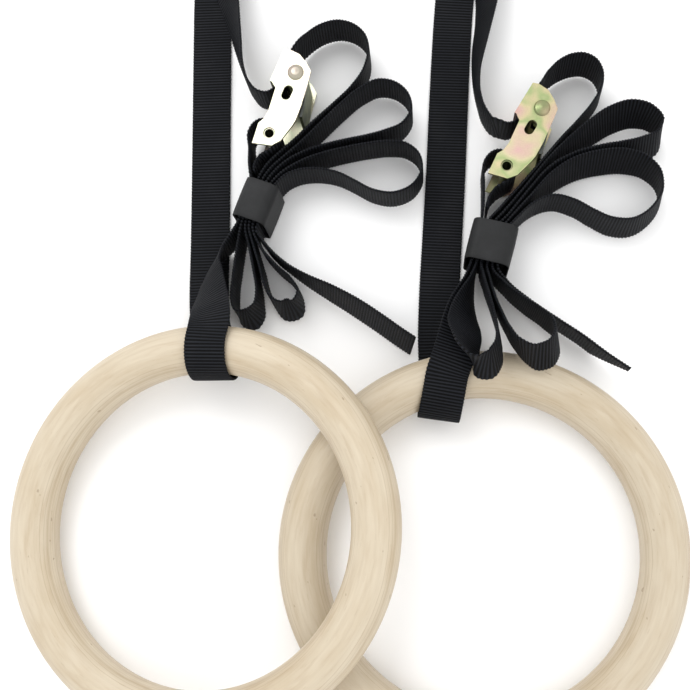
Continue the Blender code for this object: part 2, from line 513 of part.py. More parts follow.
def build_set(side, spec, mats, root):
    on_edge = spec["lean_yaw"]
    sewn = [lying(p, 0) for p in spec["sewn_end"]] + in_buckle(spec, SEWN_ROUND_BAR)
    strand = [lying(p, spec["front_yaw"]) for p in spec["ring_strand"]]
    back = [lying(p, spec["back_yaw"]) for p in spec["back"]]
    ribbon(side + "_strap_ring_run", sewn + strand + ring_wrap(spec) + back, mats["web"], root)
    free = [lying(p, 0) for p in spec["free"]] + in_buckle(spec, THROUGH_CAM)
    loops = [lying(p, on_edge) for p in spec["loops"]]
    ribbon(side + "_strap_free_run", free + loops, mats["web"], root, spec["pointed"])
    ring(side, spec, mats["birch"], root)
    lift = Vector((0, 0, BUCKLE_BASE))
    buckle = add_empty(side + "_buckle", spec["pin"] + lift, spec["buckle_angle"], root)
    buckle_frame(side, mats["zinc"], buckle)
    cam_lever(side, mats["steel"], buckle)
    cam_pin(side, mats["zinc"], buckle)
    cross_bar(side, mats["zinc"], buckle)
    cam_spring(side, mats["steel"], buckle)
    keeper = (KEEPER_INSIDE[0] + spec["keeper_extra"], KEEPER_INSIDE[1])
    name = side + "_keeper_band"
    band(name, keeper, KEEPER_LENGTH, spec["keeper"], spec["keeper_angle"], mats["rubber"], root)
    middle = hank(side, spec, mats["web"], root)
    band(side + "_hank_tie", TIE_INSIDE, TIE_LENGTH, middle, 0, mats["rubber"], root)


def main():
    clear_scene()
    for name in ("gymnastics_rings", "cutters"):
        bpy.context.scene.collection.children.link(bpy.data.collections.new(name))
    mats = {
        "web": material("webbing", WEB, 0.75, 0), "birch": material("birch", BIRCH, 0.5, 0),
        "zinc": material("zinc", ZINC, 0.3, 1), "steel": material("steel", STEEL, 0.4, 1),
        "rubber": material("rubber", RUBBER, 0.7, 0),
    }
    root = add_empty("rings_origin", CENTRE, 0, None)
    for side, spec in SETS.items():
        build_set(side, spec, mats, root)


main()
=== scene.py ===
"""Gymnastics rings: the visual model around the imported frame. Metres, +Z up, the pair lying as stored."""
import math
import random

import bmesh
import bpy
from mathutils import Matrix, Vector


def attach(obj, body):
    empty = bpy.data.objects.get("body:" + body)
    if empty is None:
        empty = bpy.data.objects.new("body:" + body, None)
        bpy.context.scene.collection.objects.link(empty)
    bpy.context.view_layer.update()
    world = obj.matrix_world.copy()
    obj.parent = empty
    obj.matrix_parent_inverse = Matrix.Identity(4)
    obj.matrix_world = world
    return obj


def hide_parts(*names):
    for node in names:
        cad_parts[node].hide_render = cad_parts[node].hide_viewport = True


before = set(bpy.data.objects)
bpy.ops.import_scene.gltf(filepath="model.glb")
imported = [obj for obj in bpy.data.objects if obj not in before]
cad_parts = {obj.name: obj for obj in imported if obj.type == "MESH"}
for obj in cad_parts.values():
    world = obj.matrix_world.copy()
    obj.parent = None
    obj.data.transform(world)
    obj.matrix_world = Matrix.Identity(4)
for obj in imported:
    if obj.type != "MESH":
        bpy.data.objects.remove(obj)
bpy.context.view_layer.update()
random.seed(7)

MM = 0.001
CENTRE = Vector((-2.0, -101.2, 0)) * MM     # from the routes' own origin to the frame's

RING_RADIUS, TUBE_RADIUS = 104.0 * MM, 14.0 * MM
LEFT_TILT, RIGHT_TILT = 0.167, 0.017
STRAP_WIDTH, STRAP_THICK = 25.0 * MM, 1.7 * MM
WRAP_HEIGHT = 16.3 * MM
BUCKLE_BASE = 1.2 * MM
KEEPER_INSIDE, BAND_WALL, KEEPER_LENGTH = (18.6 * MM, 29.0 * MM), 1.4 * MM, 25.0 * MM
HANK_LENGTH, HANK_LAYERS, LAYER_PITCH, HANK_BASE = 172.0 * MM, 16, 1.85 * MM, 2.0 * MM
TIE_INSIDE, TIE_LENGTH = (26.4 * MM, 30.4 * MM), 22.0 * MM

RIB_PITCH = 1.9 * MM            # the webbing's ribs run across it
RIB_DEPTH = 0.5                 # share of the thickness lost between ribs
RIB_SAMPLES = 4                 # sections along one rib
WARP_PITCH = 0.55 * MM          # the fine threads that run along the webbing
EDGE_NOTCH = 0.028              # share of the width lost at the selvedge between ribs
LEAN_YAW = 119                  # leaning loops of the right set tip their upper edges this way
TIP_LENGTH, TIP_WIDTH = 24.0 * MM, 0.3          # the right tail is cut to a point
STITCH_ROWS = (3.0, 6.2, 9.4)   # millimetres from the sewn end
STITCHES_PER_ROW, STITCH_PITCH = 9, 2.45 * MM
STITCH_SIZE = (1.05 * MM, 0.28 * MM, 0.22 * MM)  # half lengths across, along and out of the webbing
STITCH_HEIGHT = 0.86 * MM       # from the webbing's middle

RING_SECTIONS, TUBE_SECTIONS = 240, 56
PLY_PITCH, PLY_GROOVE = 3.2 * MM, 0.0022        # the ring's ply lines; depth as a share of the tube
BAND_TOP_CORNER, BAND_LOW_CORNER, CORNER_STEPS = 4.6 * MM, 3.0 * MM, 7
BAND_STEPS = 14
FOLD_MARGIN = 4.4 * MM          # from the hank's end to the start of its folds
FOLD_PLAY = 0.2 * MM            # how far the hank's layers stray sideways
LAYER_WAVE = 0.06 * MM

# Strap routes: x, y, z in millimetres and the turn of the webbing in degrees, 0 lying flat and 90 on edge.
# The two stretches inside a buckle are in the buckle's own frame and serve both sets.
SEWN_ROUND_BAR = [
    (3.5, -49, 15.5, 90), (5.9, -43.7, 15.5, 90), (5.2, -38.8, 15.5, 90), (1.3, -35.2, 15.5, 90),
    (-4, -33.2, 15.5, 90), (-9.2, -33.6, 15.5, 90), (-12.6, -37.6, 15.5, 90), (-13.4, -43, 15.5, 90),
]
THROUGH_CAM = [
    (-18, -17.4, 15.5, 90), (-13.6, -16.6, 15.5, 90), (-10.7, -13.8, 15.5, 90), (-9.5, -9, 15.5, 90),
    (-9.5, -3, 15.5, 90), (-9.5, 4, 15.5, 90), (-9.5, 11, 15.4, 90), (-9.2, 16, 15.2, 90),
]
LEFT_SEWN_END = [(-54.2, 101.5, 15.9, 90), (-54.1, 106, 15.6, 90), (-51.4, 111, 15.5, 90)]
LEFT_RING_STRAND = [
    (-57.4, 116, 15.5, 90), (-57.3, 108, 15.8, 90), (-56.3, 100, 16.3, 90), (-55.1, 93.4, 16, 90),
    (-59, 82.1, 15.3, 90), (-63.2, 70.8, 14.9, 90), (-68, 62, 14.9, 91), (-75.2, 53, 15.6, 80),
    (-79.2, 46, 18, 66), (-79.6, 38.4, 21.4, 54), (-78.7, 30.2, 26.4, 44), (-77.4, 22.4, 31.8, 33),
    (-75.6, 13.6, 38.8, 19), (-74.4, 5.6, 44.6, 8),
]
LEFT_BACK_STRAND = [
    (-80, 6, 14.8, 6), (-83, 20, 8.4, 3), (-84.8, 36, 3.6, 0), (-85.4, 54, 1.8, 0), (-86, 84, 1.3, 0),
    (-87, 130, 1.2, 0), (-88.3, 190, 1.3, 0), (-89, 226, 1.3, 0), (-89, 238, 1.5, 0), (-89, 252, 2.8, 0),
    (-89, 260, 3.6, 0),
    (-89, 265.6, 3.7, 0),
]
LEFT_FREE_STRAND = [
    (-86, 265.6, 7.4, 0), (-86, 261, 7.5, 0), (-82.8, 252, 8.6, 16), (-78.8, 240, 11, 34),
    (-76, 226, 13.4, 50),
    (-71.6, 206, 14.6, 64), (-67.4, 186, 15, 76), (-63.6, 170, 15.4, 88), (-59.6, 160.4, 15.5, 90),
]
LEFT_LOOPS = [
    (-25.8, 189.2, 14, 90), (-15, 197.2, 13.4, 90), (-4.6, 199.6, 13.2, 90), (5.4, 196.6, 13.2, 90),
    (12, 190, 13.2, 90), (14.2, 180, 13.2, 90), (11.6, 168, 13.2, 90), (4.2, 156.6, 13.2, 90),
    (-7, 145.3, 13.2, 90), (-19.6, 133.6, 13.2, 90), (-31, 122, 13.4, 90), (-40.4, 113.4, 13.8, 90),
    (-47.6, 105.2, 14.2, 90), (-51.5, 97.6, 14.6, 90), (-52.8, 92.5, 14.7, 90), (-56.9, 81.2, 14.7, 90),
    (-61, 69.9, 14.7, 90), (-63.2, 58, 13.8, 90), (-65, 44, 13.2, 90), (-66.2, 31, 13.2, 90),
    (-66, 22, 13, 84, 110), (-63, 15.2, 12.6, 74, 110), (-57, 13.6, 12.4, 70, 110),
    (-52.2, 18.6, 12.7, 76, 110), (-51.2, 28, 13.1, 86, 110), (-53.2, 40, 13.2, 90), (-56, 54, 13.6, 90),
    (-58.7, 69.1, 14.7, 90),
    (-54.6, 80.4, 14.7, 90), (-50.5, 91.7, 14.7, 90), (-49.2, 96.4, 14.6, 90), (-44.8, 103.6, 14.2, 90),
    (-37, 111.4, 13.8, 90), (-27, 120.4, 13.4, 90), (-15.4, 132.2, 13.2, 90), (-2.6, 145, 13.2, 90),
    (9.6, 155.4, 13.2, 90), (20.6, 160.4, 13.2, 90), (31, 158.4, 13.2, 90), (38.8, 151, 13.2, 90),
    (40.6, 141, 13.2, 90), (35.6, 132.6, 13.2, 90), (25, 127.8, 13.2, 90), (14, 124.8, 13.2, 90),
    (2, 122.4, 13.2, 90), (-12, 119.2, 13.2, 90), (-24, 115.2, 13.4, 90), (-34, 109.6, 13.8, 90),
    (-41.8, 102.4, 14.2, 90), (-46.6, 95.4, 14.6, 90), (-48.3, 90.9, 14.7, 90), (-52.4, 79.6, 14.7, 90),
    (-56.5, 68.3, 14.7, 90), (-53.8, 56.4, 13.9, 90), (-50, 44, 13.3, 90), (-47, 33, 13.2, 90),
    (-42.6, 24, 13, 82, 110), (-35.6, 19.2, 12.5, 70, 110), (-28.6, 20.8, 12.6, 74, 110),
    (-26.6, 28, 13.1, 86, 110),
    (-31, 36, 13.2, 90), (-39.4, 43.6, 13.3, 90), (-48.9, 54.6, 13.8, 90), (-54.2, 67.5, 14.7, 90),
    (-50.1, 78.8, 14.7, 90), (-46, 90.1, 14.7, 90), (-43.6, 94.8, 14.5, 90), (-38.6, 100.6, 14.2, 90),
    (-31.6, 105.8, 13.8, 90), (-22.4, 110.6, 13.4, 90), (-11, 114.4, 13.2, 90), (2, 117.4, 13.2, 90),
    (14, 119.6, 13.2, 90), (26, 120.8, 13.2, 90), (37.4, 119.4, 13.2, 90), (45.4, 112.8, 13.2, 90),
    (47.2, 102.6, 13.2, 90), (41.4, 93, 13.2, 90), (30.4, 88.4, 13.2, 90), (17.6, 90.4, 13.2, 90),
    (6, 96.6, 13.2, 90), (-3, 101.2, 13.2, 90), (-12, 103.6, 13.2, 90), (-20.4, 104.2, 13.3, 90),
    (-28.4, 103, 13.6, 90), (-35.4, 99.8, 14, 90), (-40.6, 94.6, 14.4, 90), (-43.8, 89.2, 14.7, 90),
    (-47.9, 77.9, 14.7, 90), (-51, 69.4, 14.7, 90), (-52, 66.7, 14.7, 90), (-47.8, 58.8, 14, 90),
    (-41.4, 51.4, 13.5, 90),
    (-33, 44.4, 13.2, 90), (-22, 37.2, 13.1, 86, 60), (-8, 29.6, 12.9, 79, 60),
    (7, 20.8, 12.7, 75, 60), (22.4, 10.4, 12.6, 74, 60), (34.6, 1.6, 12.6, 74, 60),
    (42, -3.4, 12.6, 74, 60),
]
RIGHT_SEWN_END = [(86.3, 78.5, 15, 90), (87.4, 84, 15.2, 90), (91.4, 89.4, 15.4, 90)]
RIGHT_RING_STRAND = [
    (84.4, 94, 15.4, 90), (84.3, 85, 15.2, 90), (83.8, 76, 15, 90), (82.4, 68.1, 14.7, 90),
    (79.5, 56.5, 14.7, 90), (76.6, 44.9, 14.7, 90), (74.2, 34, 15.6, 98), (71.8, 22, 18.6, 116),
    (70, 10, 24.2, 136), (68.4, -2, 29.8, 158), (66, -12.4, 33.6, 174),
]
RIGHT_BACK_STRAND = [
    (57.6, -10, 1.3, 180), (57.2, 2, 1.2, 180), (57.8, 29, 1.2, 180), (59.6, 64, 1.2, 180),
    (61.8, 103, 1.2, 180), (64.8, 172, 1.2, 180), (67.6, 220, 1.2, 180), (69.4, 240, 1.4, 180),
    (71.8, 256, 2.8, 180), (73, 266, 3.6, 180), (73, 273.5, 3.7, 180),
]
RIGHT_FREE_STRAND = [
    (77, 273.6, 7.4, 0), (77, 269, 7.5, 0), (82, 260, 8.6, 14), (87.6, 246, 10.4, 30), (89, 228, 12.6, 50),
    (87, 208, 13.8, 62), (83.2, 186, 14.6, 70), (81.2, 164, 15, 84), (82.6, 150, 15.3, 90),
    (85.4, 140.4, 15.5, 90), (90.4, 133.4, 15.5, 90),
]
RIGHT_LOOPS = [
    (124, 162.6, 14.4, 88), (131.6, 169.6, 13.6, 84), (139.6, 173.2, 13.2, 82), (147, 173.4, 13.2, 82),
    (153.4, 169.8, 13.2, 82), (157, 163, 13.2, 84), (156.4, 154, 13.2, 86), (150.6, 143.4, 13.2, 88),
    (141.4, 132.6, 13.2, 90), (131.4, 121.8, 13.2, 90), (121.4, 109.8, 13.4, 90), (112, 98.6, 13.8, 90),
    (103.2, 88.4, 14.2, 90), (94.2, 78, 14.5, 90), (85.5, 67.4, 14.7, 90), (82.6, 55.8, 14.7, 90),
    (79.7, 44.2, 14.7, 90), (77.4, 33, 16.4, 82, 180), (74.6, 20, 21.6, 64, 180),
    (72.6, 6, 31.6, 47, 180), (72.2, -6, 43.6, 50, 165), (74, -15.4, 49.5, 56, 145),
    (79, -21.6, 50.7, 60), (85.4, -21.4, 49.9, 60),
    (90.2, -15.4, 47.4, 64), (91.4, -6, 42.4, 70), (90, 6, 35, 76), (87.4, 20, 26, 80),
    (84.4, 34, 18, 86), (82.8, 43.4, 14.7, 90), (85.7, 55, 14.7, 90), (88.6, 66.6, 14.7, 90),
    (95.6, 74.8, 14.5, 90), (105, 85.4, 14.1, 88), (112.8, 94, 13.8, 84), (125, 107.4, 13.4, 78),
    (137, 118.6, 13, 74), (150, 129, 12.8, 70), (163, 137.4, 12.6, 68), (175.4, 141, 12.6, 68),
    (186, 138.4, 12.6, 70), (192.6, 131, 12.6, 74), (190.8, 123.4, 12.6, 74), (182, 118.6, 12.6, 72),
    (170, 115.8, 12.6, 72), (156, 113.4, 12.8, 72), (141, 109.6, 13, 74), (126.4, 102.4, 13.4, 78),
    (112.4, 88.9, 13.8, 84), (105, 80.9, 14.1, 88), (98.4, 73.2, 14.5, 90), (91.8, 65.8, 14.7, 90),
    (88.9, 54.2, 14.7, 90), (86, 42.6, 14.7, 90), (88, 32, 17.6, 86), (90.8, 20, 23.4, 80),
    (94.8, 7, 31.6, 74), (99.2, -4.5, 39.8, 68), (104.6, -12.8, 45, 62), (111.8, -16.8, 47, 60),
    (119.2, -14.8, 46.4, 62), (123.6, -8, 43, 66), (122.8, 1, 38, 70), (116, 9.8, 31.4, 74),
    (106.4, 19, 24.4, 80), (97, 29.6, 18, 86), (89.1, 41.8, 14.7, 90), (92, 53.4, 14.7, 90),
    (94.9, 65, 14.7, 90), (99, 70.4, 14.5, 90), (105, 76.8, 14.1, 88), (113.2, 84.8, 13.8, 84),
    (126, 97.4, 13.4, 78), (140, 106, 13, 74), (155, 110, 12.8, 72), (170, 110.8, 12.6, 72),
    (182, 107, 12.6, 74), (190, 98.6, 12.6, 76), (191.4, 88, 12.6, 78), (185, 76.6, 12.6, 80),
    (173.4, 69.2, 12.6, 80), (161, 69.8, 12.8, 80), (150, 75, 13, 82), (139, 81.4, 13.2, 84),
    (126.6, 84.8, 13.4, 86), (114.6, 80.8, 13.8, 88), (106, 73.6, 14.3, 90), (98, 64.3, 14.7, 90),
    (95.1, 52.7, 14.7, 90), (92.2, 41.1, 14.7, 90), (98, 32.6, 14, 90), (110, 22.2, 13.4, 90),
    (126, 10.8, 13.2, 90), (141.4, 0.2, 13.2, 90), (156, -11.2, 13.2, 90), (168, -19.6, 13.2, 90),
]
SETS = {
    "left": {
        "pin": Vector((-29.2, 162.2, 0)) * MM, "buckle_angle": 21.8,
        "keeper": Vector((-52.6, 82.6, 16.0)) * MM, "keeper_angle": 20.0, "keeper_extra": 0.0,
        "ring": Vector((-79.5, -112.9, 14.1)) * MM, "tilt": (LEFT_TILT, 0.0), "wrap_at": 86.8,
        "wrap_yaw": (0.0, -1.0), "wrap_reach": 17.5 * MM, "wrap_drift": 1.5 * MM, "width_sign": 1,
        "back_yaw": 0.0, "front_yaw": 0.0, "lean_yaw": 0.0,
        "hank": Vector((-88.0, 266.0, 0)) * MM, "pointed": False,
        "sewn_end": LEFT_SEWN_END, "ring_strand": LEFT_RING_STRAND, "back": LEFT_BACK_STRAND,
        "free": LEFT_FREE_STRAND, "loops": LEFT_LOOPS,
    },
    "right": {
        "pin": Vector((118.9, 136.8, 0)) * MM, "buckle_angle": 30.9,
        "keeper": Vector((88.6, 55.6, 16.0)) * MM, "keeper_angle": 14.0, "keeper_extra": 6.2 * MM,
        "ring": Vector((82.2, -125.7, 14.1)) * MM, "tilt": (0.0, RIGHT_TILT), "wrap_at": 102.0,
        "wrap_yaw": (-3.0, -8.0), "wrap_reach": 24.2 * MM, "wrap_drift": 3.0 * MM, "width_sign": -1,
        "back_yaw": -3.0, "front_yaw": -3.0,
        "lean_yaw": LEAN_YAW, "hank": Vector((74.5, 274.0, 0)) * MM, "pointed": True,
        "sewn_end": RIGHT_SEWN_END, "ring_strand": RIGHT_RING_STRAND, "back": RIGHT_BACK_STRAND,
        "free": RIGHT_FREE_STRAND, "loops": RIGHT_LOOPS,
    },
}


# Routes, repeated from the CAD -------------------------------------------------------------------


def lying(point, yaw):
    """A route point in metres and the direction across the webbing there; a fifth number is its own yaw."""
    x, y, z, turn, yaw = (*point, yaw)[:5]
    turn, yaw = math.radians(turn), math.radians(yaw)
    across = Vector((math.cos(yaw) * math.cos(turn), math.sin(yaw) * math.cos(turn), math.sin(turn)))
    return Vector((x, y, z)) * MM + CENTRE, across


def in_buckle(spec, points):
    turn = Matrix.Rotation(-math.radians(spec["buckle_angle"]), 4, "Z")
    lift = Vector((0, 0, BUCKLE_BASE)) + spec["pin"] + CENTRE
    return [(turn @ Vector((x, y, z)) * MM + lift, Vector((0, 0, 1))) for x, y, z, _ in points]


def ring_frame(spec):
    """Centre of a lying ring and its three axes."""
    slope_x, slope_y = spec["tilt"]
    normal = Vector((-math.sin(slope_x), -math.sin(slope_y), 0))
    normal.z = math.sqrt(1 - normal.length_squared)
    across = (Vector((1, 0, 0)) - normal * normal.x).normalized()
    rise = Vector((0, 0, RING_RADIUS * math.sin(abs(slope_x) + abs(slope_y))))
    return spec["ring"] + rise + CENTRE, across, normal.cross(across), normal


def ring_wrap(spec):
    """The strap's turn round the ring: over the tube, down its inner side and under it."""
    centre, across, along, normal = ring_frame(spec)
    at, (end_yaw, middle_yaw) = math.radians(spec["wrap_at"]), spec["wrap_yaw"]
    tube = centre + RING_RADIUS * (across * math.cos(at) + along * math.sin(at))
    back = along * math.cos(math.radians(middle_yaw)) - across * math.sin(math.radians(middle_yaw))
    points = []
    for i in range(9):
        yaw = math.radians(end_yaw + (middle_yaw - end_yaw) * math.sin(math.pi * i / 8))
        width = across * math.cos(yaw) + along * math.sin(yaw)
        turn = math.radians(90 + 22.5 * i)
        place = tube + back * spec["wrap_reach"] * math.cos(turn) + normal * WRAP_HEIGHT * math.sin(turn)
        points.append((place + across * spec["wrap_drift"] * (4 - i) / 8, width * spec["width_sign"]))
    return points


def smooth(controls, step):
    """Samples a smooth curve through the controls, about one sample every step."""
    gaps = [(b[0] - a[0]).length for a, b in zip(controls, controls[1:])]
    rates = [[(b[j] - a[j]) / gap for j in (0, 1)] for a, b, gap in zip(controls, controls[1:], gaps)]
    slopes = [rates[0]]
    for i in range(1, len(gaps)):
        share = gaps[i - 1] / (gaps[i - 1] + gaps[i])
        slopes.append([rates[i - 1][j] * (1 - share) + rates[i][j] * share for j in (0, 1)])
    slopes.append(rates[-1])
    samples = []
    for i, gap in enumerate(gaps):
        pieces = max(1, round(gap / step))
        for k in range(pieces):
            t = k / pieces
            ends = (1 + 2 * t) * (1 - t) ** 2, t * t * (3 - 2 * t)
            pulls = t * (1 - t) ** 2 * gap, t * t * (t - 1) * gap
            samples.append([
                controls[i][j] * ends[0] + controls[i + 1][j] * ends[1]
                + slopes[i][j] * pulls[0] + slopes[i + 1][j] * pulls[1] for j in (0, 1)
            ])
    samples.append(list(controls[-1]))
    return samples


def hank_route(spec):
    """The folded length: the doubled strap goes to and fro in sixteen layers."""
    near, far = FOLD_MARGIN, HANK_LENGTH - FOLD_MARGIN
    levels = [0, 3, 4, 7, 8, 11, 12, 15, 14, 13, 10, 9, 6, 5, 2, 1]
    points = []
    for n, level in enumerate(levels):
        ends = (near, far) if n % 2 == 0 else (far, near)
        height = HANK_BASE + (level + 0.5) * LAYER_PITCH
        shift = random.uniform(-FOLD_PLAY, FOLD_PLAY)
        for k in range(9):
            y = ends[0] + (ends[1] - ends[0]) * k / 8
            points.append(Vector((shift, y, height + LAYER_WAVE * math.sin(3 * k + n))))
        if n + 1 < len(levels):
            after = HANK_BASE + (levels[n + 1] + 0.5) * LAYER_PITCH
            radius, out = (after - height) / 2, 1 if ends[1] == far else -1
            for k in (1, 2, 3, 4, 5):
                turn = math.pi * k / 6
                y = ends[1] + out * abs(radius) * math.sin(turn)
                points.append(Vector((shift, y, height + radius * (1 - math.cos(turn)))))
    return [(point + spec["hank"] + CENTRE, Vector((1, 0, 0))) for point in points]


def strap_routes(spec):
    """The whole strap in order, as stretches of controls: ring run, hank, free run."""
    sewn = [lying(p, 0) for p in spec["sewn_end"]] + in_buckle(spec, SEWN_ROUND_BAR)
    strand = [lying(p, spec["front_yaw"]) for p in spec["ring_strand"]]
    back = [lying(p, spec["back_yaw"]) for p in spec["back"][:-2]]
    free = [lying(p, 0) for p in spec["free"][2:]] + in_buckle(spec, THROUGH_CAM)
    loops = [lying(p, LEAN_YAW if spec["pointed"] else 0.0) for p in spec["loops"]]
    stretches = [sewn + strand + ring_wrap(spec) + back, hank_route(spec), free + loops]
    for before, after in zip(stretches, stretches[1:]):
        if before[-1][1].dot(after[0][1]) < 0:
            after[:] = [(place, -across) for place, across in after]
    return stretches


# Mesh helpers ------------------------------------------------------------------------------------


def add_piece(name, mesh, body, mat, replaced=()):
    obj = bpy.data.objects.new(name, mesh)
    bpy.context.scene.collection.objects.link(obj)
    mesh.materials.append(mat)
    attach(obj, body)
    if replaced:
        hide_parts(*replaced)
    return obj


def mesh_from(bm, name):
    bmesh.ops.recalc_face_normals(bm, faces=bm.faces)
    mesh = bpy.data.meshes.new(name)
    bm.to_mesh(mesh)
    bm.free()
    mesh.polygons.foreach_set("use_smooth", [True] * len(mesh.polygons))
    return mesh


# Half widths and half heights of the webbing's section, from the middle to the rounded selvedge
SECTION = [(0, 1.0), (0.55, 0.99), (0.885, 0.96), (0.925, 0.88), (0.972, 0.86), (0.996, 0.34)]


def webbing(name, spec):
    """The ribbed strap from its sewn end to its tail, one closed mesh."""
    route = [point for stretch in strap_routes(spec) for point in stretch]
    samples = smooth(route, RIB_PITCH / RIB_SAMPLES)
    lengths = [0.0]
    for a, b in zip(samples, samples[1:]):
        lengths.append(lengths[-1] + (b[0] - a[0]).length)
    top = [(-s, h) for s, h in reversed(SECTION[1:])] + list(SECTION)
    outline = top + [(s, -h) for s, h in reversed(top)]
    verts, faces, coords = [], [], []
    total = len(samples)
    for i, (place, across) in enumerate(samples):
        ahead = (samples[min(i + 2, total - 1)][0] - samples[max(i - 2, 0)][0]).normalized()
        across = (across - ahead * across.dot(ahead)).normalized()
        thick = ahead.cross(across)
        share = 1.0
        if spec["pointed"]:
            share = min(1.0, TIP_WIDTH + (1 - TIP_WIDTH) * (lengths[-1] - lengths[i]) / TIP_LENGTH)
        place = place - across * (1 - share) * STRAP_WIDTH / 2
        wave = 0.5 - 0.5 * math.cos(2 * math.pi * lengths[i] / RIB_PITCH)
        rib = 1 - RIB_DEPTH * wave ** 2
        edge = 1 - EDGE_NOTCH * wave
        for s, h in outline:
            spot = across * s * edge * share * STRAP_WIDTH / 2 + thick * h * rib * STRAP_THICK / 2
            verts.append(place + spot)
            coords.append((s * STRAP_WIDTH / 2, lengths[i], 0.0))
    count = len(outline)
    for i in range(total - 1):
        for k in range(count):
            a, b = i * count + k, i * count + (k + 1) % count
            faces.append((a, b, b + count, a + count))
    faces.append(tuple(range(count))[::-1])
    faces.append(tuple(range((total - 1) * count, total * count)))
    mesh = bpy.data.meshes.new(name)
    mesh.from_pydata(verts, [], faces)
    layer = mesh.attributes.new("weave", "FLOAT_VECTOR", "POINT")
    layer.data.foreach_set("vector", [value for coord in coords for value in coord])
    mesh.polygons.foreach_set("use_smooth", [True] * len(mesh.polygons))
    mesh.update()
    return mesh, lengths[-1], samples


def wooden_ring(name, spec):
    """A turned ring: fine sections, with the faint flats that sanding leaves at the ply lines."""
    centre, across, along, normal = ring_frame(spec)
    around, about = RING_SECTIONS, TUBE_SECTIONS
    verts, faces, coords = [], [], []
    for i in range(around):
        turn = 2 * math.pi * i / around
        out = across * math.cos(turn) + along * math.sin(turn)
        for k in range(about):
            roll = 2 * math.pi * k / about
            height = TUBE_RADIUS * math.sin(roll)
            ply = 1 - PLY_GROOVE * (0.5 + 0.5 * math.cos(2 * math.pi * height / PLY_PITCH))
            sideways, up = TUBE_RADIUS * ply * math.cos(roll), TUBE_RADIUS * ply * math.sin(roll)
            verts.append(centre + out * (RING_RADIUS + sideways) + normal * up)
            coords.append((sideways, height, math.cos(turn), math.sin(turn)))
    for i in range(around):
        for k in range(about):
            here, there, after = i * about, (i + 1) % around * about, (k + 1) % about
            faces.append((here + k, there + k, there + after, here + after))
    mesh = bpy.data.meshes.new(name)
    mesh.from_pydata(verts, [], faces)
    grain = mesh.attributes.new("grain", "FLOAT_VECTOR", "POINT")
    grain.data.foreach_set("vector", [value for coord in coords for value in coord[:3]])
    turns = mesh.attributes.new("turn", "FLOAT", "POINT")
    turns.data.foreach_set("value", [coord[3] for coord in coords])
    mesh.polygons.foreach_set("use_smooth", [True] * len(mesh.polygons))
    mesh.update()
    return mesh


def rubber_band(name, inside, length, place, angle):
    """A moulded sleeve: rolled lips, walls a little thicker in the middle, softer corners on top."""
    wall, lip = BAND_WALL, BAND_WALL / 2
    section = [(-length / 2, 0.43), (-length / 2 + 0.12 * lip, 0.66), (-length / 2 + 0.46 * lip, 0.82)]
    for i in range(1, BAND_STEPS):
        t = 2 * i / BAND_STEPS - 1
        section.append((t * (length / 2 - lip), 0.86 + 0.14 * (1 - t * t)))
    section += [(-y, share) for y, share in reversed(section[:3])]
    section += [(length / 2 - lip, 0.04), (length / 4, 0.0), (0.0, 0.0), (-length / 4, 0.0)]
    section += [(-length / 2 + lip, 0.04)]
    turn_z = Matrix.Rotation(-math.radians(angle), 4, "Z")
    bm = bmesh.new()
    rings = []
    for y, share in section:
        points = []
        for quarter, (sx, sz) in enumerate(((1, 1), (-1, 1), (-1, -1), (1, -1))):
            corner = BAND_TOP_CORNER if sz > 0 else BAND_LOW_CORNER
            radius = corner + share * wall
            for k in range(CORNER_STEPS + 1):
                a = math.radians(90 * quarter + 90 * k / CORNER_STEPS)
                x = sx * (inside[0] / 2 - corner) + radius * math.cos(a)
                z = sz * (inside[1] / 2 - corner) + radius * math.sin(a)
                points.append(bm.verts.new(turn_z @ Vector((x, y, z)) + place))
        rings.append(points)
    for a, b in zip(rings, rings[1:] + rings[:1]):
        for k in range(len(a)):
            after = (k + 1) % len(a)
            bm.faces.new((a[k], a[after], b[after], b[k]))
    return mesh_from(bm, name)


def stitches(name, samples):
    """Rows of thread across the webbing: each stitch is a short flattened capsule."""
    bm = bmesh.new()
    wide, long, high = STITCH_SIZE
    for row in STITCH_ROWS:
        at = int(row * MM / (RIB_PITCH / RIB_SAMPLES))
        place, across = samples[at]
        ahead = (samples[at + 2][0] - samples[at - 2][0]).normalized()
        across = (across - ahead * across.dot(ahead)).normalized()
        thick = ahead.cross(across)
        basis = Matrix((across * wide, ahead * long, thick * high)).transposed().to_4x4()
        for side in (1, -1):
            for k in range(STITCHES_PER_ROW):
                step = across * (k - STITCHES_PER_ROW // 2) * STITCH_PITCH
                middle = place + step + thick * side * STITCH_HEIGHT
                grid = bmesh.ops.create_uvsphere(bm, u_segments=6, v_segments=5, radius=1.0)["verts"]
                bmesh.ops.transform(bm, matrix=Matrix.Translation(middle) @ basis, verts=grid)
    return mesh_from(bm, name)


# Materials: every one is built from nodes ----------------------------------------------------------


